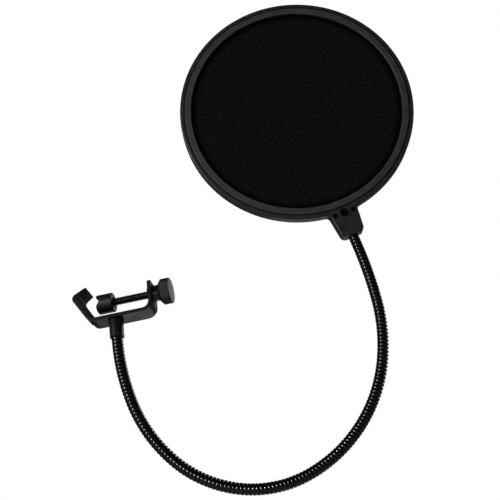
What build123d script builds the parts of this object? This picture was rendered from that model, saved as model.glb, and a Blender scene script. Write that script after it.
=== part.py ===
from build123d import *
import math
import os

os.makedirs("parts", exist_ok=True)

# Pop filter on a gooseneck with a screw clamp. Millimetres.
# Frame: the origin is the middle of the clamp's open grip, on the clamp screw's axis.
# +X runs along the screw towards the knob, Y runs across the clamp's strip, +Z is up.

# Clamp bracket: one bent steel strip
strip_width = 13.6
strip_thick = 2.3
base_top = -10.85
arm_inner = 39.1
arm_top = 7.2
arm_bend = 5.2
strip_edge = 0.3
foot_bend = 4.0
flank_slope = math.tan(math.radians(30))
flank_end = 3.6

# Jaw boot: rubber V over the strip's free end
boot_skin = 0.7
jaw_corner = (-10.6, 5.7)
vee_corner = (-6.1, 5.5)
lip_outer = (-0.5, 10.65)
lip_inner = (-0.1, 9.8)
boot_foot = -9.9

# Screw, bush, knob and pad, all on the X axis
screw_r = 2.5
running = 0.05
bush_r = 4.0
boss_r = 5.1
boss_end = 44.9
pad_r = 6.2
pad_front = 4.9
pad_back = 15.4
notch_depth = 2.6
notch_half_height = 3.4
journal_r = 2.0
neck_r = 1.5
screw_tip = 8.7
clip_front = 10.0
clip_thick = 0.8
knob_r = 8.2
knob_back = 45.3
knob_front = 52.9
screw_end = 50.1
grub_r = 1.5
grub_x = 48.3

# Socket under the base, which holds the gooseneck
socket_x = 15.9
socket_r = 4.5
collar_r = 4.9
collar_height = 2.4
socket_length = 11.55
socket_screw_r = 2.0
socket_screw_head_r = 4.0
socket_head_height = 2.0
socket_screw_length = 5.4
socket_depth = 7.8

# Gooseneck: eight lengths in a row, each one a tangent arc
goose_r = 3.4
length = 42.8
arm_yaw = 13.5
turns = [16.5, 27, 34, 35, 26.5, 25.5, 21.5, 9.5]
leans = [-5, -2, 0, 0.5, 0.5, -0.5, 1.5, 2.5]
joint_gap = 0.85
ball_r = 2.3
cup_r = ball_r + running

# Head: hoop halves round two stretched screens
head_twist = -6.0
neck_reach = 95.4
hoop_r = 78.0
opening_r = 70.5
half_thick = 3.5
rear_thick = 4.5
rim_round = 1.0
seat_r = 75.0
seat_height = 1.5
screen_r = 74.2
screen_thick = 0.3
retainer_r = 74.7
retainer_stand = 0.3
axis_depth = 2.0
neck_rear = 6.4
neck_end = 94.9
neck_top_half = 9.9
neck_end_half = 7.6
neck_corner = 3.6
neck_fillet = 4.0
hole_radius = 79.1
recess_r = 2.45
recess_depth = 2.2
neck_screw_r = 1.45
pin_spacing = 12.4
pin_r = 1.25
ferrule_r = 4.8
ferrule_from = 9.8
ferrule_to = 12.4

base_mid = base_top - strip_thick / 2
base_bottom = base_top - strip_thick
arm_mid = arm_inner + strip_thick / 2
arm_outer = arm_inner + strip_thick
socket_bottom = base_bottom - socket_length


def turned(points):
    """Adds a solid of revolution about the X axis; points are (x, radius)."""
    with BuildSketch(Plane.XZ) as profile:
        Polygon(*points, align=None)
    revolve(profile.sketch, axis=Axis.X)


def finish(builder, label):
    builder.part.label = label
    export_step(builder.part, f"parts/{label}.step")


# ---------------------------------------------------------------- clamp

flank_mid_x = jaw_corner[0] + (boot_skin + strip_thick / 2) / math.cos(math.radians(30))
foot_x = flank_mid_x + (jaw_corner[1] - base_mid) * flank_slope
end_x = flank_mid_x + (jaw_corner[1] - flank_end) * flank_slope

with BuildPart() as clamp_bracket:
    with BuildSketch(Plane.XZ):
        with BuildLine():
            FilletPolyline(
                (arm_mid, arm_top),
                (arm_mid, base_mid),
                (foot_x, base_mid),
                (end_x, flank_end),
                radius=[arm_bend, foot_bend],
            )
        trace(line_width=strip_thick)
    extrude(amount=strip_width / 2, both=True)
    fillet(clamp_bracket.edges().filter_by(Axis.X).group_by(Axis.Z)[-1], radius=1.5)
    fillet(clamp_bracket.faces().filter_by(Plane.XZ).edges(), radius=strip_edge)
    with BuildSketch(Plane.YZ.offset(arm_inner - 1)):
        Circle(bush_r)
    extrude(amount=strip_thick + 2, mode=Mode.SUBTRACT)
    with BuildSketch(Plane.XY.offset(base_bottom)):
        with Locations((socket_x, 0)):
            Circle(socket_screw_r + running)
    extrude(amount=strip_thick, mode=Mode.SUBTRACT)
    with Locations((socket_x, 0, base_top - socket_head_height / 2)):
        Cone(socket_screw_r + running, socket_screw_head_r + running, socket_head_height, mode=Mode.SUBTRACT)
finish(clamp_bracket, "clamp_bracket")

with BuildPart() as jaw_boot:
    with BuildSketch(Plane.XZ) as boot_profile:
        Polygon(
            (jaw_corner[0] + (jaw_corner[1] - boot_foot) * flank_slope, boot_foot),
            jaw_corner,
            lip_outer,
            lip_inner,
            vee_corner,
            (vee_corner[0] + (vee_corner[1] - boot_foot) * flank_slope, boot_foot),
            align=None,
        )
        corners = boot_profile.vertices()
        fillet(corners.sort_by_distance(jaw_corner)[0], radius=2.0)
        corners = boot_profile.vertices()
        fillet(corners.sort_by_distance(vee_corner)[0], radius=2.5)
    extrude(amount=strip_width / 2, both=True)
    add(clamp_bracket.part, mode=Mode.SUBTRACT)
finish(jaw_boot, "jaw_boot")

with BuildPart() as thread_bush:
    turned(
        [
            (arm_inner - 0.9, screw_r + running),
            (arm_inner - 0.9, boss_r - 0.3),
            (arm_inner, boss_r - 0.3),
            (arm_inner, bush_r),
            (arm_outer, bush_r),
            (arm_outer, boss_r),
            (boss_end, boss_r),
            (boss_end, screw_r + running),
        ]
    )
    chamfer(thread_bush.edges().filter_by(GeomType.CIRCLE).sort_by(Axis.X)[-1], length=0.3)
finish(thread_bush, "thread_bush")

with BuildPart() as clamp_screw:
    turned(
        [
            (screw_tip, 0),
            (screw_tip, journal_r),
            (clip_front - 0.1, journal_r),
            (clip_front - 0.1, neck_r),
            (clip_front + clip_thick + 0.1, neck_r),
            (clip_front + clip_thick + 0.1, journal_r),
            (pad_back - 1.9, journal_r),
            (pad_back - 1.4, screw_r),
            (screw_end, screw_r),
            (screw_end, 0),
        ]
    )
finish(clamp_screw, "clamp_screw")

with BuildPart() as pressure_pad:
    with BuildSketch(Plane.YZ.offset(pad_front)):
        Circle(pad_r)
    extrude(amount=pad_back - pad_front)
    chamfer(pressure_pad.edges().filter_by(GeomType.CIRCLE), length=0.5)
    with BuildSketch(Plane.XZ):
        Polygon(
            (pad_front - 1, notch_half_height * (1 + 1 / notch_depth)),
            (pad_front + notch_depth, 0),
            (pad_front - 1, -notch_half_height * (1 + 1 / notch_depth)),
            align=None,
        )
    extrude(amount=pad_r + 1, both=True, mode=Mode.SUBTRACT)
    with BuildSketch(Plane.YZ.offset(pad_back)):
        Circle(screw_r + 0.9)
    extrude(amount=-2.2, mode=Mode.SUBTRACT)
    with BuildSketch(Plane.YZ.offset(pad_back)):
        Circle(journal_r + running)
    extrude(amount=screw_tip - 0.2 - pad_back, mode=Mode.SUBTRACT)
    with BuildSketch(Plane.YZ.offset(clip_front)):
        Circle(screw_r + 0.9)
    extrude(amount=clip_thick, mode=Mode.SUBTRACT)
finish(pressure_pad, "pressure_pad")

with BuildPart() as pad_clip:
    with BuildSketch(Plane.YZ.offset(clip_front)):
        Circle(screw_r + 0.9)
        Circle(neck_r + 0.1, mode=Mode.SUBTRACT)
    extrude(amount=clip_thick)
finish(pad_clip, "pad_clip")

with BuildPart() as clamp_knob:
    turned(
        [
            (knob_back, screw_r),
            (knob_back, knob_r - 2.4),
            (knob_back + 2.0, knob_r),
            (knob_front - 0.8, knob_r),
            (knob_front, knob_r - 0.6),
            (knob_front, 0),
            (screw_end, 0),
            (screw_end, screw_r),
        ]
    )
    with BuildSketch(Plane.XZ) as grub_hole:
        with Locations((grub_x, 0)):
            Circle(grub_r)
    extrude(amount=-knob_r - 1, mode=Mode.SUBTRACT)
finish(clamp_knob, "clamp_knob")

with BuildPart() as knob_grub:
    with BuildSketch(Plane.XZ.offset(-screw_r)):
        with Locations((grub_x, 0)):
            Circle(grub_r)
    extrude(amount=-(knob_r - screw_r - 0.9))
    with BuildSketch(Plane.XZ.offset(-knob_r + 0.9)):
        with Locations((grub_x, 0)):
            RegularPolygon(0.85, 6)
    extrude(amount=1.5, mode=Mode.SUBTRACT)
finish(knob_grub, "knob_grub")

with BuildPart() as gooseneck_socket:
    with BuildSketch(Plane.XY.offset(base_bottom)):
        with Locations((socket_x, 0)):
            Circle(collar_r)
    extrude(amount=-collar_height)
    chamfer(gooseneck_socket.edges().group_by(Axis.Z)[0], length=0.3)
    with BuildSketch(Plane.XY.offset(base_bottom)):
        with Locations((socket_x, 0)):
            Circle(socket_r)
    extrude(amount=-socket_length)
    chamfer(gooseneck_socket.edges().group_by(Axis.Z)[0], length=0.4)
    with BuildSketch(Plane.XY.offset(base_bottom)):
        with Locations((socket_x, 0)):
            Circle(socket_screw_r + running)
    extrude(amount=-socket_length, mode=Mode.SUBTRACT)
    with BuildSketch(Plane.XY.offset(socket_bottom)):
        with Locations((socket_x, 0)):
            Circle(goose_r + running)
    extrude(amount=socket_depth, mode=Mode.SUBTRACT)
finish(gooseneck_socket, "gooseneck_socket")

with BuildPart() as socket_screw:
    with Locations((socket_x, 0, base_top - socket_head_height / 2)):
        Cone(socket_screw_r, socket_screw_head_r, socket_head_height)
    with BuildSketch(Plane.XY.offset(base_top - socket_head_height)):
        with Locations((socket_x, 0)):
            Circle(socket_screw_r)
    extrude(amount=socket_head_height - socket_screw_length)
    with BuildSketch(Plane.XY.offset(base_top)):
        with Locations((socket_x, 0)):
            RegularPolygon(1.4, 6)
    extrude(amount=-1.6, mode=Mode.SUBTRACT)
finish(socket_screw, "socket_screw")

# ------------------------------------------------------------ gooseneck


class Bend:
    """One length of the gooseneck: an arc that leaves a plane along its normal.

    turn bends it towards the plane's x direction and lean towards its y direction, in degrees.
    """

    def __init__(self, start, turn, lean):
        self.start = start
        self.angle = math.hypot(turn, lean)
        self.radius = length / math.radians(self.angle)
        toward = (start.x_dir * turn + start.y_dir * lean) / self.angle
        self.axis = Axis(start.origin + toward * self.radius, start.z_dir.cross(toward))

    def plane_at(self, distance):
        """The plane across the arc at this distance along it."""
        degrees = self.angle * distance / length
        spoke = self.start.origin - self.axis.position
        return Plane(
            origin=self.axis.position + spoke.rotate(self.axis, degrees),
            x_dir=self.start.x_dir.rotate(self.axis, degrees),
            z_dir=self.start.z_dir.rotate(self.axis, degrees),
        )


yaw = math.radians(arm_yaw)
joint_plane = Plane(
    origin=(socket_x, 0, socket_bottom),
    x_dir=(math.cos(yaw), math.sin(yaw), 0),
    z_dir=(0, 0, -1),
)
bends = []
joint_planes = []
for turn, lean in zip(turns, leans):
    bend = Bend(joint_plane, turn, lean)
    joint_plane = bend.plane_at(length)
    bends.append(bend)
    joint_planes.append(joint_plane)
last_plane = joint_planes[-1]
neck_plane = Plane(
    origin=last_plane.origin,
    x_dir=last_plane.x_dir.rotate(Axis(last_plane.origin, last_plane.z_dir), head_twist),
    z_dir=last_plane.z_dir,
)

for number, bend in enumerate(bends, start=1):
    first = number == 1
    last = number == len(bends)
    cut_from = 0 if first else joint_gap
    cut_to = length if last else length - joint_gap
    with BuildPart() as gooseneck_length:
        with BuildSketch(bend.plane_at(cut_from)):
            Circle(goose_r)
        revolve(axis=bend.axis, revolution_arc=bend.angle * (cut_to - cut_from) / length)
        if first:
            with BuildSketch(bend.start):
                Circle(goose_r)
            extrude(amount=-socket_depth)
        else:
            with Locations(bend.start.location):
                Sphere(ball_r)
        if last:
            with BuildSketch(bend.plane_at(length)):
                Circle(goose_r)
            extrude(amount=ferrule_to)
        else:
            with Locations(bend.plane_at(length).location):
                Sphere(cup_r, mode=Mode.SUBTRACT)
    finish(gooseneck_length, f"gooseneck_{number}")

# ----------------------------------------------------------------- head

front = neck_plane.y_dir
up = neck_plane.z_dir
hoop_plane = Plane(
    origin=neck_plane.origin + up * neck_reach + front * axis_depth,
    x_dir=up.cross(front),
    z_dir=front,
)


def neck_outline():
    """Adds the neck's outline to a sketch on the hoop's plane: a tapered tab with round corners."""
    Polygon(
        (-neck_top_half, -seat_r - 0.3),
        (neck_top_half, -seat_r - 0.3),
        (neck_end_half, -neck_end),
        (-neck_end_half, -neck_end),
        align=None,
    )


def round_neck(sketch):
    """Rounds the neck's end corners and the inner corners where it leaves the hoop."""
    fillet(sketch.vertices().group_by(Axis.Y)[0], radius=neck_corner)
    roots = sketch.vertices().filter_by_position(Axis.Y, -hoop_r, 2 - hoop_r)
    fillet(roots, radius=neck_fillet)


def hoop_half(side):
    """Adds the hoop ring and the neck tab on one side of the middle plane."""
    with BuildSketch(hoop_plane) as outline:
        Circle(hoop_r)
        neck_outline()
        round_neck(outline)
        Circle(opening_r, mode=Mode.SUBTRACT)
    extrude(outline.sketch, amount=side * half_thick)
    with BuildSketch(hoop_plane.offset(side * seat_height)) as seat:
        Circle(seat_r)
    extrude(seat.sketch, amount=side * half_thick, mode=Mode.SUBTRACT)


def neck_bores():
    """Cuts the gooseneck's bore, the ferrule's pocket and the fasteners' holes."""
    with BuildSketch(neck_plane.offset(-1)) as bore:
        Circle(goose_r + running)
    extrude(bore.sketch, amount=ferrule_to + 1, mode=Mode.SUBTRACT)
    with BuildSketch(neck_plane.offset(ferrule_from)) as pocket:
        Circle(ferrule_r)
    extrude(pocket.sketch, amount=ferrule_to - ferrule_from, mode=Mode.SUBTRACT)
    with BuildSketch(hoop_plane.offset(half_thick)) as holes:
        with Locations((0, -hole_radius)):
            Circle(neck_screw_r)
        with Locations((-pin_spacing / 2, -hole_radius), (pin_spacing / 2, -hole_radius)):
            Circle(pin_r)
    extrude(holes.sketch, amount=-half_thick - neck_rear + 1.2, mode=Mode.SUBTRACT)


with BuildPart() as front_hoop:
    hoop_half(1)
    rim = front_hoop.faces().sort_by(Axis(hoop_plane.origin, front))[-1].outer_wire()
    fillet(rim.edges(), radius=rim_round)
    with BuildSketch(hoop_plane.offset(-axis_depth)) as collar:
        Circle(hoop_r)
        neck_outline()
        round_neck(collar)
        Circle(hoop_r, mode=Mode.SUBTRACT)
    extrude(amount=axis_depth)
    neck_bores()
    with BuildSketch(hoop_plane.offset(half_thick)):
        with Locations((0, -hole_radius)):
            Circle(recess_r)
    extrude(amount=-recess_depth, mode=Mode.SUBTRACT)
finish(front_hoop, "front_hoop")

with BuildPart() as rear_hoop:
    with BuildSketch(hoop_plane):
        Circle(hoop_r)
        Circle(opening_r, mode=Mode.SUBTRACT)
    extrude(amount=-rear_thick)
    with BuildSketch(hoop_plane.offset(-seat_height)):
        Circle(seat_r)
    extrude(amount=-rear_thick, mode=Mode.SUBTRACT)
    rim = rear_hoop.faces().sort_by(Axis(hoop_plane.origin, front))[0].outer_wire()
    fillet(rim.edges(), radius=rim_round)
    with BuildSketch(hoop_plane.offset(-axis_depth)) as root:
        Circle(hoop_r)
        neck_outline()
        round_neck(root)
        Circle(hoop_r - rim_round, mode=Mode.SUBTRACT)
        with Locations((0, -hoop_r)):
            Rectangle(3 * neck_top_half, neck_end, mode=Mode.INTERSECT)
    extrude(amount=axis_depth - rear_thick + rim_round)
    with BuildSketch(hoop_plane.offset(-axis_depth)) as tab:
        neck_outline()
        fillet(tab.vertices().group_by(Axis.Y)[0], radius=neck_corner)
    extrude(amount=axis_depth - neck_rear)
    back = rear_hoop.faces().sort_by(Axis(hoop_plane.origin, front))[0]
    fillet(back.edges(), radius=rim_round)
    neck_bores()
finish(rear_hoop, "rear_hoop")

for side, name, hoop_side in ((1, "front", half_thick), (-1, "rear", rear_thick)):
    with BuildPart() as screen:
        with BuildSketch(hoop_plane.offset(side * seat_height)):
            Circle(screen_r)
        extrude(amount=side * screen_thick)
    finish(screen, f"{name}_screen")
    with BuildPart() as retainer:
        with BuildSketch(hoop_plane.offset(side * (seat_height + screen_thick))):
            Circle(retainer_r)
            Circle(opening_r, mode=Mode.SUBTRACT)
        extrude(amount=side * (hoop_side + retainer_stand - seat_height - screen_thick))
        outer_face = retainer.faces().sort_by(Axis(hoop_plane.origin, front * side))[-1]
        fillet(outer_face.edges(), radius=0.4)
    finish(retainer, f"{name}_retainer")

with BuildPart() as neck_screw:
    with BuildSketch(hoop_plane.offset(half_thick - recess_depth)):
        with Locations((0, -hole_radius)):
            Circle(recess_r - 0.15)
    extrude(amount=1.5)
    with BuildSketch(hoop_plane.offset(half_thick - recess_depth)):
        with Locations((0, -hole_radius)):
            Circle(neck_screw_r)
    extrude(amount=-(neck_rear - 1.2 + half_thick - recess_depth))
    with BuildSketch(hoop_plane.offset(half_thick - recess_depth + 1.5)):
        with Locations((0, -hole_radius)):
            Rectangle(2.6, 0.6)
            Rectangle(0.6, 2.6)
    extrude(amount=-0.9, mode=Mode.SUBTRACT)
finish(neck_screw, "neck_screw")

with BuildPart() as neck_pins:
    with BuildSketch(hoop_plane.offset(half_thick - 0.9)):
        with Locations((-pin_spacing / 2, -hole_radius), (pin_spacing / 2, -hole_radius)):
            Circle(pin_r)
    extrude(amount=-(neck_rear - 1.2 + half_thick - 0.9))
finish(neck_pins, "neck_pins")

with BuildPart() as gooseneck_ferrule:
    with BuildSketch(neck_plane.offset(ferrule_from)):
        Circle(ferrule_r)
        Circle(goose_r + running, mode=Mode.SUBTRACT)
    extrude(amount=ferrule_to - ferrule_from)
finish(gooseneck_ferrule, "gooseneck_ferrule")
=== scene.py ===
import math

import bmesh
import bpy
import numpy as np
from mathutils import Matrix, Vector


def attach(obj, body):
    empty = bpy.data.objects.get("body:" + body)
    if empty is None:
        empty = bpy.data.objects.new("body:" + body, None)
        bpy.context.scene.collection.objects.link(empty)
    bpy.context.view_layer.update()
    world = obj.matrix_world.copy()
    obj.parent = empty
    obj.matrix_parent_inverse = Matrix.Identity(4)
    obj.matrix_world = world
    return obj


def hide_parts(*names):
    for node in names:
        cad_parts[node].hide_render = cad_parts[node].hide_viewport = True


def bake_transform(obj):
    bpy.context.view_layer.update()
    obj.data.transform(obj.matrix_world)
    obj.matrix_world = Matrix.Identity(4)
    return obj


# Looks of the pop filter, in metres and degrees, in the frame of its CAD parts.
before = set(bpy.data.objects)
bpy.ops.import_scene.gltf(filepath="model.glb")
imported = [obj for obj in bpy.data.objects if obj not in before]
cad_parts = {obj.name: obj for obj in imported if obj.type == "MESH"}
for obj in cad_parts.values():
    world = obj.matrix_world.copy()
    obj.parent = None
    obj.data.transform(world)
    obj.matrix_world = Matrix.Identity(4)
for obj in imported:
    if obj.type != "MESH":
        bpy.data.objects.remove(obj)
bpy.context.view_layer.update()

# Gooseneck: eight bent lengths in a row from the socket to the neck, as in the CAD
SOCKET_X = 0.0159
SOCKET_BOTTOM = -0.0247
LENGTH = 0.0428
ARM_YAW = 13.5
TURNS = (16.5, 27, 34, 35, 26.5, 25.5, 21.5, 9.5)
LEANS = (-5, -2, 0, 0.5, 0.5, -0.5, 1.5, 2.5)
BODIES = ["bracket"] + [f"length_{number}" for number in range(2, len(TURNS))] + ["head"]

# The wire wound round it
WIRE_CREST = 0.00358
WIRE_GROOVE = 0.00042
WIRE_PITCH = 0.00235
WIRE_ROUND = 0.85
WIRE_ROWS = 10
WIRE_COLUMNS = 48
HIDDEN_END = 0.002

# Head
HEAD_TWIST = -6.0
NECK_REACH = 0.0954
AXIS_DEPTH = 0.002
SEAT_HEIGHT = 0.0015
FASTENER_DROP = 0.0004
NECK_SCREW_RADIUS = 0.0028
NECK_PIN_RADIUS = 0.0016
SCREEN_RADIUS = 0.0742
SCREEN_SWAY = 0.00006
SCREEN_THICKNESS = 0.00025
SCREEN_LIFT = 0.00015
SCREEN_RINGS = 48
SCREEN_SPOKES = 144

# Head of a neck fastener, from its rim to its middle: share of its radius and height on the face
FASTENER_PROFILE = (
    (1.0, -0.0010),
    (1.0, 0.0001),
    (0.97, 0.00022),
    (0.88, 0.00028),
    (0.62, 0.00024),
    (0.58, 0.0001),
    (0.56, -0.0006),
    (0.30, -0.0007),
    (0.01, -0.0007),
)
FASTENER_COLUMNS = 48

# Nylon: its threads, its uneven weave, and painted shadow where it darkens towards the retainer ring
NYLON_THREAD = 0.0006
WEAVE_SHARE = 0.12
SPECKLE_SCALE = 820.0
# Painted shadow of the retainer ring on the nylon: radius where it starts, radius where it is full, share
# of light kept
RETAINER_SHADOW_INNER = 0.0655
RETAINER_SHADOW_OUTER = 0.0695
RETAINER_SHADOW_KEPT = 0.05
NYLON_SHEEN = {"Sheen_Weight": 0.01, "Sheen_Roughness": 0.5, "Specular_IOR_Level": 0.03}

# Clamp screw and knob, along the X axis
SCREW_RADIUS = 0.0025
JOURNAL_RADIUS = 0.002
SCREW_TIP = 0.0087
THREAD_START = 0.0144
SCREW_END = 0.0501
THREAD_PITCH = 0.0016
THREAD_DEPTH = 0.00042
THREAD_STEEPNESS = 1.35
THREAD_CREST = 0.2
THREAD_ROWS = 14
SCREW_COLUMNS = 56
JOURNAL_LEAD = 0.0003
JOURNAL_END_RADIUS = 0.0017
JOURNAL_GAP = 0.0001
KNOB_RADIUS = 0.0082
KNOB_BACK = 0.0453
KNOB_FRONT = 0.0529
KNURL_COUNT = 72
KNURL_DEPTH = 0.00022
KNURL_RISE = 0.0011
COLUMNS_PER_KNURL = 6
GRUB_X = 0.0483
GRUB_RADIUS = 0.0015
GRUB_PIT = 0.0012
PIT_CLEARANCE = 0.0001
PIT_WALL = 0.00015

# Knob's outline behind and before its knurl: distance from that face and radius
KNOB_BACK_PROFILE = (
    (0.0, SCREW_RADIUS),
    (0.0, KNOB_RADIUS - 0.0026),
    (0.00015, KNOB_RADIUS - 0.0023),
    (0.0019, KNOB_RADIUS - 0.00015),
)
KNOB_FRONT_PROFILE = (
    (-0.0002, KNOB_RADIUS - 0.0003),
    (0.0, KNOB_RADIUS - 0.0007),
    (-0.00012, KNOB_RADIUS - 0.0011),
    (-0.0002, 0.004),
    (-0.0002, 0.00002),
)
KNURL_BACK = KNOB_BACK + 0.0021
KNURL_FRONT = KNOB_FRONT - 0.0007
KNURL_ROWS = 54

# Jaw boot
STRIP_HALF_WIDTH = 0.0068
JAW_OUTLINE = (
    ((-0.0016, -0.0099), 0.0006),
    ((-0.0113, 0.0060), 0.0034),
    ((-0.0007, 0.0111), 0.0005),
    ((-0.0001, 0.0098), 0.0002),
    ((-0.0059, 0.0055), 0.0025),
    ((0.0031, -0.0099), 0.0006),
)
BOOT_EDGE = 0.0004
BOOT_INSET = 0.00005
BOOT_EDGE_ROWS = 5

SMOOTH_BELOW = math.radians(50)
ARC_STEP = math.radians(9)


# ------------------------------------------------------------- mesh work


def lattice(rows, columns):
    """Quads of a grid that closes on itself round each row, with one face over each end row."""
    number = np.arange(rows * columns).reshape(rows, columns)
    beside = np.roll(number, -1, axis=1)
    quads = np.stack([number[:-1], beside[:-1], beside[1:], number[1:]], axis=-1)
    return quads.reshape(-1, 4).tolist() + [number[0][::-1].tolist(), number[-1].tolist()]


def solid(name, grid, material):
    """A closed piece from a rows by columns grid of points, with its faces turned outwards."""
    mesh = bpy.data.meshes.new(name)
    mesh.from_pydata(grid.reshape(-1, 3).tolist(), [], lattice(*grid.shape[:2]))
    shell = bmesh.new()
    shell.from_mesh(mesh)
    if shell.calc_volume(signed=True) < 0:
        bmesh.ops.reverse_faces(shell, faces=shell.faces)
    shell.to_mesh(mesh)
    shell.free()
    mesh.polygons.foreach_set("use_smooth", np.ones(len(mesh.polygons), bool))
    mesh.set_sharp_from_angle(angle=SMOOTH_BELOW)
    mesh.materials.append(material)
    piece = bpy.data.objects.new(name, mesh)
    bpy.context.scene.collection.objects.link(piece)
    return piece


def turned(stations, radii):
    """A grid about the X axis: (x, radius cos angle, radius sin angle), one row for each station."""
    angles = np.linspace(0, 2 * np.pi, radii.shape[1], endpoint=False)
    x = np.broadcast_to(stations[:, None], radii.shape)
    return np.stack([x, radii * np.cos(angles), radii * np.sin(angles)], axis=-1)


def rounded_outline(corners):
    """A closed outline in X and Z from (point, radius) corners, each an arc that touches both sides."""
    points = [np.array(point) for point, _ in corners]
    outline = []
    for index, (_, radius) in enumerate(corners):
        here = points[index]
        back = points[index - 1] - here
        ahead = points[(index + 1) % len(points)] - here
        back = back / np.linalg.norm(back)
        ahead = ahead / np.linalg.norm(ahead)
        half = math.acos(np.clip(back @ ahead, -1, 1)) / 2
        middle = (back + ahead) / np.linalg.norm(back + ahead)
        centre = here + middle * radius / math.sin(half)
        sweep = np.pi - 2 * half
        turn = np.linspace(-sweep / 2, sweep / 2, max(2, round(sweep / ARC_STEP) + 1))
        side = np.array([-middle[1], middle[0]])
        side = side * np.sign(side @ ahead)
        outline.append(centre + radius * (np.outer(-np.cos(turn), middle) + np.outer(np.sin(turn), side)))
    return np.concatenate(outline)


def outward(outline):
    """Unit normals of a closed outline, each square to the line between its point's neighbours."""
    along = np.roll(outline, -1, axis=0) - np.roll(outline, 1, axis=0)
    normal = np.stack([along[:, 1], -along[:, 0]], axis=1)
    normal = normal / np.linalg.norm(normal, axis=1)[:, None]
    x, z = outline.T
    area = np.sum(x * np.roll(z, -1) - z * np.roll(x, -1))
    return normal * np.sign(area)


def prism(outline, half_width, edge):
    """An outline in X and Z carried along Y, with quarter-round edges where it ends."""
    quarter = np.linspace(0, np.pi / 2, BOOT_EDGE_ROWS)
    inset = edge * (1 - np.cos(quarter))
    y = half_width - edge + edge * np.sin(quarter)
    inset = np.concatenate([inset[::-1], inset])
    y = np.concatenate([-y[::-1], y])
    flat = outline[None] - inset[:, None, None] * outward(outline)[None]
    return np.stack([flat[..., 0], np.broadcast_to(y[:, None], flat.shape[:2]), flat[..., 1]], axis=-1)


# ---------------------------------------------------------- gooseneck line


def swung(vector, axis, angles):
    """The vector turned about the unit axis by each angle, one row for each (Rodrigues' formula)."""
    cosine = np.cos(angles)[:, None]
    sine = np.sin(angles)[:, None]
    return vector * cosine + np.cross(axis, vector) * sine + axis * (axis @ vector) * (1 - cosine)


def along_bend(plane, turn, lean, distance):
    """Points and x, z directions along one length: a circle that leaves the plane along its z.

    It curves towards x by turn and towards y by lean, in degrees over the whole length.
    """
    origin, x, z = plane
    total = math.hypot(turn, lean)
    toward = (x * turn + np.cross(z, x) * lean) / total
    radius = LENGTH / math.radians(total)
    angle = distance / radius
    points = origin + radius * (np.outer(np.sin(angle), z) + np.outer(1 - np.cos(angle), toward))
    axis = np.cross(z, toward)
    return points, swung(x, axis, angle), swung(z, axis, angle)


def start_planes():
    """Where each length starts, and last the neck: origin, x direction and z direction ahead."""
    yaw = math.radians(ARM_YAW)
    plane = (
        np.array([SOCKET_X, 0.0, SOCKET_BOTTOM]),
        np.array([math.cos(yaw), math.sin(yaw), 0.0]),
        np.array([0.0, 0.0, -1.0]),
    )
    planes = [plane]
    for turn, lean in zip(TURNS, LEANS):
        points, x, z = along_bend(plane, turn, lean, np.array([LENGTH]))
        plane = (points[0], x[0], z[0])
        planes.append(plane)
    return planes


PLANES = start_planes()
neck_origin, last_x, neck_up = PLANES[-1]
neck_x = swung(last_x, neck_up, np.array([math.radians(HEAD_TWIST)]))[0]
head_front = np.cross(neck_up, neck_x)
head_side = np.cross(neck_up, head_front)
hoop_centre = neck_origin + neck_up * NECK_REACH + head_front * AXIS_DEPTH


def gooseneck_line(distance):
    """Centre points and two cross directions at distances from the socket, straight past both ends."""
    points = np.empty((len(distance), 3))
    across = np.empty((len(distance), 3))
    ahead = np.empty((len(distance), 3))
    number = np.clip(np.floor(distance / LENGTH).astype(int), 0, len(TURNS) - 1)
    for k, (turn, lean) in enumerate(zip(TURNS, LEANS)):
        rows = number == k
        local = distance[rows] - k * LENGTH
        held = np.clip(local, 0, LENGTH)
        line, across[rows], ahead[rows] = along_bend(PLANES[k], turn, lean, held)
        points[rows] = line + ahead[rows] * (local - held)[:, None]
    return points, across, np.cross(ahead, across)


def winding(start, end):
    """Round wire in a helix on the gooseneck's line, on a grid of distance and angle.

    Radius = crest - groove x depth, where depth goes from 0 on the wire's crest to 1 between two
    turns of it as 1 - sqrt(1 - (round x offset)^2), and offset is -1 to 1 across one turn.
    """
    rows = round((end - start) / WIRE_PITCH * WIRE_ROWS) + 1
    distance = np.linspace(start, end, rows)
    angle = np.linspace(0, 2 * np.pi, WIRE_COLUMNS, endpoint=False)
    points, across, beside = gooseneck_line(distance)
    phase = distance[:, None] / WIRE_PITCH - angle / (2 * np.pi)
    offset = 2 * (phase - np.round(phase))
    depth = (1 - np.sqrt(1 - (WIRE_ROUND * offset) ** 2)) / (1 - math.sqrt(1 - WIRE_ROUND**2))
    radius = (WIRE_CREST - WIRE_GROOVE * depth)[..., None]
    around = np.cos(angle)[:, None] * across[:, None] + np.sin(angle)[:, None] * beside[:, None]
    return points[:, None] + radius * around


# ---------------------------------------------------------------- finishes


# A cloud of colour is as wide as this many grains; a ring is fully dark over this share of its reach
GRAINS_IN_CLOUD = 12
RING_CORE = 0.4

# Most of a noise lies between these two
NOISE_LOW = 0.35
NOISE_HIGH = 0.65

# How close together the knob's turning marks are
TURNING_MARKS = 9000.0


def new_finish(name, **constants):
    """A material whose shader has these constant values; words in a name are joined by underscores."""
    material = bpy.data.materials.new(name)
    material.use_nodes = True
    shader = material.node_tree.nodes["Principled BSDF"]
    for socket, value in constants.items():
        shader.inputs[socket.replace("_", " ")].default_value = value
    return material, material.node_tree, shader


def node(tree, kind, inputs, **settings):
    """A new node with its settings, whose inputs are joined to sockets or set to values."""
    made = tree.nodes.new("ShaderNode" + kind)
    for name, value in settings.items():
        setattr(made, name, value)
    for socket, value in inputs.items():
        if isinstance(value, bpy.types.NodeSocket):
            tree.links.new(value, made.inputs[socket])
        else:
            made.inputs[socket].default_value = value
    return made


def object_place(tree):
    return node(tree, "TexCoord", {}).outputs["Object"]


def noise(tree, place, scale, detail=3.0):
    return node(tree, "TexNoise", {"Vector": place, "Scale": scale, "Detail": detail}).outputs["Fac"]


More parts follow.
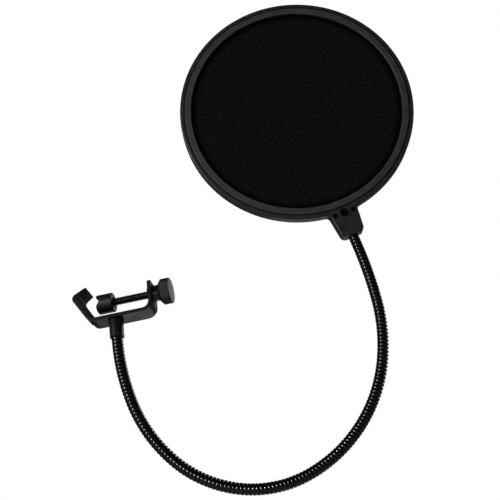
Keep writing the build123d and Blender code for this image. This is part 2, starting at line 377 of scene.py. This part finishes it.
def remap(tree, value, low, high, from_low=NOISE_LOW, from_high=NOISE_HIGH):
    """The value between two limits turned into a value between two others, held at its ends."""
    inputs = {"Value": value, "From Min": from_low, "From Max": from_high, "To Min": low, "To Max": high}
    return node(tree, "MapRange", inputs, clamp=True).outputs["Result"]


def two_tone(tree, value, dark, light, from_low=NOISE_LOW, from_high=NOISE_HIGH):
    """Colour that goes from dark to light as the value goes between two limits."""
    ramp = node(tree, "ValToRGB", {"Fac": value})
    for element, place, tone in zip(ramp.color_ramp.elements, (from_low, from_high), (dark, light)):
        element.position = place
        element.color = (*tone, 1)
    return ramp.outputs["Color"]


def raise_surface(tree, shader, height, strength, distance):
    bump = node(tree, "Bump", {"Height": height, "Strength": strength, "Distance": distance})
    tree.links.new(bump.outputs["Normal"], shader.inputs["Normal"])


def vector_math(tree, operation, *inputs):
    return node(tree, "VectorMath", dict(enumerate(inputs)), operation=operation).outputs


def from_hoop_axis(tree, place):
    """Distance from the hoop's axis: the length of (place - centre) x axis."""
    away = vector_math(tree, "SUBTRACT", place, tuple(hoop_centre))["Vector"]
    square = vector_math(tree, "CROSS_PRODUCT", away, tuple(head_front))["Vector"]
    return vector_math(tree, "LENGTH", square)["Value"]


def grey(value):
    return (value, value, value)


def dimmed(tree, tone, share):
    """The tone times a share of light from 0 to 1."""
    return node(tree, "VectorMath", {0: tone, "Scale": share}, operation="SCALE").outputs["Vector"]


def grained(name, dark, light, rough, grain, depth, ring=None, **constants):
    """A dark finish with clouded colour and gloss and a fine raised grain.

    A ring is a darker line round the hoop's axis: its radius, its reach and how much light it keeps.
    """
    material, tree, shader = new_finish(name, **constants)
    place = object_place(tree)
    cloud = noise(tree, place, grain / GRAINS_IN_CLOUD, 4.0)
    fine = noise(tree, place, grain, 2.0)
    tone = two_tone(tree, cloud, dark, light)
    if ring:
        radius, reach, kept = ring
        beside = node(tree, "Math", {0: from_hoop_axis(tree, place), 1: radius}, operation="SUBTRACT")
        beside = node(tree, "Math", {0: beside.outputs[0]}, operation="ABSOLUTE").outputs[0]
        tone = dimmed(tree, tone, remap(tree, beside, kept, 1.0, reach * RING_CORE, reach))
    tree.links.new(tone, shader.inputs["Base Color"])
    tree.links.new(remap(tree, cloud, *rough), shader.inputs["Roughness"])
    raise_surface(tree, shader, fine, 0.6, depth)
    return material


def baked_enamel():
    """Satin black enamel on steel: fine orange peel and slightly worn gloss."""
    return grained(
        "coated_steel",
        dark=grey(0.005),
        light=(0.009, 0.009, 0.0095),
        rough=(0.3, 0.42),
        grain=1500.0,
        depth=0.00003,
        Specular_IOR_Level=0.25,
    )


def moulded_rubber():
    """Matt black rubber with a coarse skin."""
    return grained(
        "rubber",
        dark=grey(0.0006),
        light=grey(0.0024),
        rough=(0.62, 0.78),
        grain=2600.0,
        depth=0.00004,
        Specular_IOR_Level=0.2,
    )


def black_oxide():
    """Oiled black oxide on small steel parts."""
    return grained(
        "dark_metal",
        dark=grey(0.002),
        light=grey(0.005),
        rough=(0.2, 0.34),
        grain=2200.0,
        depth=0.00002,
        Specular_IOR_Level=0.35,
    )


def dull_oxide_and_hole_shade():
    """Dry black oxide on the fasteners in the neck, near black: partly painted shade of the holes in the
    neck's face.
    """
    return grained(
        "sunk_metal",
        dark=grey(0.0002),
        light=grey(0.0009),
        rough=(0.5, 0.65),
        grain=2200.0,
        depth=0.00002,
        Specular_IOR_Level=0.08,
    )


def burnished_bush():
    """Black oxide rubbed bright, on the bush that the screw turns in."""
    return grained(
        "burnished_metal",
        dark=grey(0.002),
        light=grey(0.005),
        rough=(0.08, 0.14),
        grain=2200.0,
        depth=0.00001,
        Specular_IOR_Level=0.9,
    )


def pad_moulding():
    """Hard black plastic of the pressure pad, with a visible grain."""
    return grained(
        "black_moulding",
        dark=grey(0.003),
        light=grey(0.007),
        rough=(0.34, 0.48),
        grain=1800.0,
        depth=0.00005,
        Specular_IOR_Level=0.4,
    )


def satin_moulding():
    """Satin plastic of the hoop, with painted shade in the seam round the retainer ring."""
    return grained(
        "hoop_plastic",
        dark=grey(0.016),
        light=grey(0.023),
        rough=(0.36, 0.48),
        grain=2400.0,
        depth=0.00003,
        # Painted shade: a dark line in the seam between the hoop and the retainer ring
        ring=(0.0751, 0.0006, 0.05),
        Specular_IOR_Level=0.38,
    )


def retainer_moulding():
    """Paler plastic of the retainer rings, with a faint line round the middle of each."""
    return grained(
        "retainer_plastic",
        dark=grey(0.029),
        light=grey(0.039),
        rough=(0.5, 0.62),
        grain=2000.0,
        depth=0.00003,
        ring=(0.0729, 0.0006, 0.8),
    )


def glossy_wire():
    """Glossy black wire of the gooseneck."""
    return grained(
        "gooseneck_wire",
        dark=grey(0.0008),
        light=grey(0.002),
        rough=(0.14, 0.22),
        grain=1600.0,
        depth=0.00001,
        Specular_IOR_Level=0.6,
    )


def anodised_knob():
    """Black anodised metal: turning marks run in rings round the screw's axis."""
    material, tree, shader = new_finish("knob_metal", Metallic=0.2, Specular_IOR_Level=0.7)
    place = object_place(tree)
    split = node(tree, "SeparateXYZ", {"Vector": place})
    flat = node(tree, "CombineXYZ", {"X": 0.0, "Y": split.outputs["Y"], "Z": split.outputs["Z"]})
    length = vector_math(tree, "LENGTH", flat.outputs["Vector"])["Value"]
    rings = node(tree, "TexNoise", {"W": length, "Scale": TURNING_MARKS}, noise_dimensions="1D")
    cloud = noise(tree, place, 160.0, 4.0)
    tree.links.new(two_tone(tree, cloud, grey(0.003), grey(0.007)), shader.inputs["Base Color"])
    tree.links.new(remap(tree, rings.outputs["Fac"], 0.34, 0.5), shader.inputs["Roughness"])
    raise_surface(tree, shader, rings.outputs["Fac"], 0.4, 0.00001)
    return material


def woven_nylon():
    """Fine open nylon: threads cross a little unevenly, and painted shadow darkens it under the ring.

    Weave = sin(2 pi x / thread) sin(2 pi y / thread), in the nylon's own flat x and y.
    """
    material, tree, shader = new_finish("nylon", **NYLON_SHEEN)
    place = node(tree, "UVMap", {}, uv_map="weave").outputs["UV"]
    split = node(tree, "SeparateXYZ", {"Vector": place})
    threads = []
    for direction in ("X", "Y"):
        turn = {0: split.outputs[direction], 1: 2 * math.pi / NYLON_THREAD}
        angle = node(tree, "Math", turn, operation="MULTIPLY").outputs[0]
        threads.append(node(tree, "Math", {0: angle}, operation="SINE").outputs[0])
    weave = node(tree, "Math", {0: threads[0], 1: threads[1]}, operation="MULTIPLY").outputs[0]
    speckle = noise(tree, place, SPECKLE_SCALE, 4.0)
    mixed = {0: weave, 1: WEAVE_SHARE, 2: speckle}
    mixed = node(tree, "Math", mixed, operation="MULTIPLY_ADD").outputs[0]
    tone = two_tone(tree, mixed, grey(0.0002), grey(0.0125), 0.4, 0.6)
    # Painted shadow of the retainer ring over the nylon's outer edge
    from_middle = vector_math(tree, "LENGTH", place)["Value"]
    tone = dimmed(tree, tone, remap(tree, from_middle, 1.0, RETAINER_SHADOW_KEPT, RETAINER_SHADOW_INNER, RETAINER_SHADOW_OUTER))
    tree.links.new(tone, shader.inputs["Base Color"])
    tree.links.new(remap(tree, speckle, 0.7, 0.9), shader.inputs["Roughness"])
    raise_surface(tree, shader, mixed, 0.5, 0.00012)
    return material


enamel = baked_enamel()
rubber = moulded_rubber()
oxide = black_oxide()
dull_and_hole_shade = dull_oxide_and_hole_shade()
burnished = burnished_bush()
moulding = pad_moulding()
hoop_finish = satin_moulding()
retainer_finish = retainer_moulding()
wire_finish = glossy_wire()
knob_finish = anodised_knob()
nylon = woven_nylon()


# ------------------------------------------------------------------ pieces


def paint(name, material):
    """Gives a kept CAD part its finish."""
    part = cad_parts[name]
    if not part.material_slots:
        part.data.materials.append(material)
    for place in part.material_slots:
        place.material = material


def gooseneck():
    """Wound wire in nine pieces: the end ones go with the bracket and the head, and each of the others
    spans one joint.
    """
    cuts = [-HIDDEN_END] + [(k + 0.5) * LENGTH for k in range(len(TURNS))]
    cuts.append(len(TURNS) * LENGTH + HIDDEN_END)
    for k, (start, end) in enumerate(zip(cuts[:-1], cuts[1:])):
        piece = solid(f"winding_{k + 1}", winding(start, end), wire_finish)
        if k in (0, len(TURNS)):
            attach(piece, BODIES[0] if k == 0 else BODIES[-1])
        else:
            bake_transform(piece)
        if k < len(TURNS):
            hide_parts(f"gooseneck_{k + 1}")


def clamp_screw():
    """Threaded rod on a plain journal: radius = rod - depth x (steepness x wave - crest), held 0 to 1.

    The wave is a triangle from 0 to 1 of (x / pitch - angle).
    """
    rows = round((SCREW_END - THREAD_START) / THREAD_PITCH * THREAD_ROWS)
    thread_x = np.linspace(THREAD_START, SCREW_END, rows)
    angles = np.linspace(0, 2 * np.pi, SCREW_COLUMNS, endpoint=False)
    phase = thread_x[:, None] / THREAD_PITCH - angles / (2 * np.pi)
    wave = 2 * np.abs(phase - np.round(phase))
    thread = SCREW_RADIUS - THREAD_DEPTH * np.clip(wave * THREAD_STEEPNESS - THREAD_CREST, 0, 1)
    lead = np.clip((thread_x - THREAD_START) / THREAD_PITCH, 0, 1)[:, None]
    thread = JOURNAL_RADIUS + (thread - JOURNAL_RADIUS) * lead
    journal_x = np.array([SCREW_TIP, SCREW_TIP + JOURNAL_LEAD, THREAD_START - JOURNAL_GAP])
    journal = np.array([[JOURNAL_END_RADIUS], [JOURNAL_RADIUS], [JOURNAL_RADIUS]])
    journal = np.broadcast_to(journal, (len(journal_x), SCREW_COLUMNS))
    grid = turned(np.concatenate([journal_x, thread_x]), np.concatenate([journal, thread]))
    piece = solid("threaded_rod", grid, oxide)
    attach(piece, "screw")
    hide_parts("clamp_screw")


def clamp_knob():
    """Knurled knob: a turned profile, less a diamond knurl on its rim and a pit for the grub screw.

    Knurl depth = the smaller of two triangle waves, of (angle x count + x / rise) and
    (angle x count - x / rise).
    """
    rim_x = np.linspace(KNURL_BACK, KNURL_FRONT, KNURL_ROWS)
    back_x, back_radius = np.array(KNOB_BACK_PROFILE).T
    front_x, front_radius = np.array(KNOB_FRONT_PROFILE).T
    x = np.concatenate([KNOB_BACK + back_x, rim_x, KNOB_FRONT + front_x])
    radius = np.concatenate([back_radius, np.full(len(rim_x), KNOB_RADIUS), front_radius])
    columns = KNURL_COUNT * COLUMNS_PER_KNURL
    angles = np.linspace(0, 2 * np.pi, columns, endpoint=False)
    around = angles * KNURL_COUNT / (2 * np.pi)
    knurled = ((x >= rim_x[0]) & (x <= rim_x[-1]))[:, None]
    slant = x[:, None] / KNURL_RISE
    waves = [2 * np.abs(way - np.round(way)) for way in (around + slant, around - slant)]
    radii = radius[:, None] - KNURL_DEPTH * (1 - np.minimum(*waves)) * knurled
    from_grub = np.hypot(x[:, None] - GRUB_X, KNOB_RADIUS * np.angle(np.exp(1j * angles)))
    pit = np.clip((GRUB_RADIUS + PIT_CLEARANCE - from_grub) / PIT_WALL, 0, 1) * knurled
    radii = radii - (radii - KNOB_RADIUS + GRUB_PIT) * pit
    piece = solid("knurled_knob", turned(x, radii), knob_finish)
    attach(piece, "screw")
    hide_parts("clamp_knob")


def jaw_boot():
    """Rubber boot: the jaw's outline carried across the strip, with soft edges."""
    grid = prism(rounded_outline(JAW_OUTLINE), STRIP_HALF_WIDTH - BOOT_INSET, BOOT_EDGE)
    piece = solid("rubber_boot", grid, rubber)
    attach(piece, "bracket")
    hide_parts("jaw_boot")


def screen(name, side):
    """Stretched nylon: a flat disc with a very small sway, height = sway x s(1 - s) sin(3 angle).

    Here s is the share of the radius; side is 1 for the front layer and -1 for the rear one.
    """
    shares = np.linspace(0, 1, SCREEN_RINGS + 1)[1:]
    angles = np.linspace(0, 2 * np.pi, SCREEN_SPOKES, endpoint=False)
    sway = SCREEN_SWAY * np.outer(shares * (1 - shares), np.sin(3 * angles))
    flat_x = SCREEN_RADIUS * np.outer(shares, np.cos(angles))
    flat_y = SCREEN_RADIUS * np.outer(shares, np.sin(angles))
    height = side * (SEAT_HEIGHT + SCREEN_LIFT) + sway
    plane = hoop_centre + flat_x[..., None] * head_side + flat_y[..., None] * neck_up
    grid = plane + height[..., None] * head_front
    number = np.arange(SCREEN_RINGS * SCREEN_SPOKES).reshape(SCREEN_RINGS, SCREEN_SPOKES)
    beside = np.roll(number, -1, axis=1)
    quads = np.stack([number[:-1], number[1:], beside[1:], beside[:-1]], axis=-1).reshape(-1, 4)
    middle = number[0]
    if side < 0:
        quads = quads[:, ::-1]
        middle = middle[::-1]
    mesh = bpy.data.meshes.new(name)
    mesh.from_pydata(grid.reshape(-1, 3).tolist(), [], quads.tolist() + [middle.tolist()])
    mesh.polygons.foreach_set("use_smooth", np.ones(len(mesh.polygons), bool))
    flat = np.stack([flat_x, flat_y], axis=-1).reshape(-1, 2)
    corners = np.empty(len(mesh.loops), np.int32)
    mesh.loops.foreach_get("vertex_index", corners)
    mesh.uv_layers.new(name="weave").data.foreach_set("uv", flat[corners].ravel())
    mesh.materials.append(nylon)
    piece = bpy.data.objects.new(name, mesh)
    bpy.context.scene.collection.objects.link(piece)
    thickness = piece.modifiers.new("thickness", "SOLIDIFY")
    thickness.thickness = SCREEN_THICKNESS
    thickness.offset = 0
    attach(piece, "head")
    layer = "front" if side > 0 else "rear"
    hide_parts(f"{layer}_screen")


def head_spread(name):
    """Lowest and highest place of a CAD part along the head's front, side and up directions."""
    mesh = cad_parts[name].data
    points = np.empty(3 * len(mesh.vertices))
    mesh.vertices.foreach_get("co", points)
    local = (points.reshape(-1, 3) - neck_origin) @ np.stack([head_front, head_side, neck_up]).T
    return local.min(axis=0), local.max(axis=0)


def fastener(name, front, side, up, radius):
    """A round head seen from its end: a turned profile with a dished rim and a round recess."""
    shares, heights = np.array(FASTENER_PROFILE).T
    radii = np.broadcast_to(radius * shares[:, None], (len(shares), FASTENER_COLUMNS))
    profile = turned(front + heights, radii)
    grid = neck_origin + profile @ np.stack([head_front, head_side, neck_up])
    grid = grid + side * head_side + up * neck_up
    # Near-black dull oxide: partly painted shade of the holes in the neck's face
    piece = solid(name, grid, dull_and_hole_shade)
    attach(piece, "head")


def neck_fasteners():
    """Wide black heads on the screw and the two pins, which stand a little proud of the neck's face."""
    face = head_spread("front_hoop")[1][0]
    low, high = head_spread("neck_screw")
    side = (low[1] + high[1]) / 2
    up = (low[2] + high[2]) / 2 - FASTENER_DROP
    fastener("neck_screw_head", face, side, up, NECK_SCREW_RADIUS)
    low, high = head_spread("neck_pins")
    inset = (high[2] - low[2]) / 2
    fastener("neck_pin_head_1", face, low[1] + inset, up, NECK_PIN_RADIUS)
    fastener("neck_pin_head_2", face, high[1] - inset, up, NECK_PIN_RADIUS)


gooseneck()
clamp_screw()
clamp_knob()
jaw_boot()
screen("front_nylon", 1)
screen("rear_nylon", -1)
neck_fasteners()
for name, finish in (
    ("clamp_bracket", enamel),
    ("gooseneck_socket", enamel),
    ("thread_bush", burnished),
    ("pad_clip", oxide),
    ("knob_grub", oxide),
    ("socket_screw", oxide),
    ("gooseneck_ferrule", oxide),
    ("pressure_pad", moulding),
    # Near-black dull oxide on the neck fasteners: partly painted shade of the neck's holes
    ("neck_screw", dull_and_hole_shade),
    ("neck_pins", dull_and_hole_shade),
    ("front_hoop", hoop_finish),
    ("rear_hoop", hoop_finish),
    ("front_retainer", retainer_finish),
    ("rear_retainer", retainer_finish),
):
    paint(name, finish)


# -------------------------------------------------------- floor and light


FLOOR_GLOW = 0.9
FLOOR_LEVEL = -0.5
FLOOR_HALF = 40.0

# Light from all round, and the direction behind the object in which it is a little brighter
ROUND_LIGHT = (0.025, 0.05)
BEHIND = (-0.13, 0.87, 0.48)
BEHIND_FROM = -0.2
BEHIND_TO = 0.35

MIDDLE = Vector((0.09, 0.0, 0.0))
CAMERA_PLACE = (0.18101, -0.52948, -0.27153)
CAMERA_RIGHT = Vector((0.9705, 0.2063, -0.1248))
CAMERA_UP = Vector((0.2066, -0.4443, 0.8718))
CAMERA_BACK = Vector((0.1244, -0.8718, -0.4738))
SENSOR_WIDTH = 36.0
LENS_LENGTH = 69.98


def pale_floor():
    """Pale paint that looks the same from every side, and lights nothing by itself."""
    material, tree, shader = new_finish("floor_paint", Roughness=0.8, Specular_IOR_Level=0.2)
    shader.inputs["Emission Color"].default_value = (1, 1, 1, 1)
    seen = node(tree, "LightPath", {}).outputs["Is Camera Ray"]
    tree.links.new(remap(tree, seen, 0.0, FLOOR_GLOW, 0.0, 1.0), shader.inputs["Emission Strength"])
    cloud = noise(tree, object_place(tree), 3.0, 2.0)
    tree.links.new(two_tone(tree, cloud, grey(0.5), grey(0.52)), shader.inputs["Base Color"])
    return material


def floor():
    mesh = bpy.data.meshes.new("floor")
    corners = [(-1, -1), (1, -1), (1, 1), (-1, 1)]
    points = [(x * FLOOR_HALF, y * FLOOR_HALF, FLOOR_LEVEL) for x, y in corners]
    mesh.from_pydata(points, [], [(0, 1, 2, 3)])
    mesh.materials.append(pale_floor())
    plane = bpy.data.objects.new("floor", mesh)
    bpy.context.scene.collection.objects.link(plane)


def backdrop():
    """White all round to the eye; as light it is dim, and a little brighter behind the object."""
    world = bpy.data.worlds.new("backdrop")
    bpy.context.scene.world = world
    world.use_nodes = True
    tree = world.node_tree
    tree.nodes.clear()
    place = node(tree, "TexCoord", {}).outputs["Generated"]
    depth = vector_math(tree, "DOT_PRODUCT", place, BEHIND)["Value"]
    light = remap(tree, depth, *ROUND_LIGHT, BEHIND_FROM, BEHIND_TO)
    path = node(tree, "LightPath", {})
    strength = node(tree, "Math", {0: path.outputs["Is Camera Ray"], 1: light}, operation="MAXIMUM")
    shade = node(tree, "Background", {"Color": (1, 1, 1, 1), "Strength": strength.outputs[0]})
    node(tree, "OutputWorld", {"Surface": shade.outputs[0]})


def soft_light(name, place, size, power):
    """A square studio lamp that faces the middle of the object."""
    lamp = bpy.data.lights.new(name, "AREA")
    lamp.size = size
    lamp.energy = power
    holder = bpy.data.objects.new(name, lamp)
    holder.location = place
    holder.rotation_euler = (MIDDLE - Vector(place)).to_track_quat("-Z", "Y").to_euler()
    holder.visible_camera = False
    bpy.context.scene.collection.objects.link(holder)


def camera():
    lens = bpy.data.cameras.new("camera")
    lens.sensor_width = SENSOR_WIDTH
    lens.lens = LENS_LENGTH
    lens.clip_start = 0.01
    holder = bpy.data.objects.new("camera", lens)
    turn = Matrix((CAMERA_RIGHT, CAMERA_UP, CAMERA_BACK)).transposed()
    holder.matrix_world = Matrix.Translation(CAMERA_PLACE) @ turn.to_4x4()
    bpy.context.scene.collection.objects.link(holder)
    bpy.context.scene.camera = holder


def from_camera(right, up, back):
    """A place so far right, up and back of the object's middle, in the camera's own directions."""
    return tuple(MIDDLE + CAMERA_RIGHT * right + CAMERA_UP * up + CAMERA_BACK * back)


floor()
backdrop()
soft_light("key", from_camera(-1.9, 0.7, 1.5), 0.5, 42.0)
soft_light("side", from_camera(0.9, 0.3, -0.9), 0.6, 6.0)
soft_light("fill", from_camera(-0.5, 0.0, 2.2), 1.4, 4.5)
soft_light("below", (0.1, 0.75, -0.42), 0.7, 1.7)
camera()
bpy.context.scene.view_settings.view_transform = "Standard"
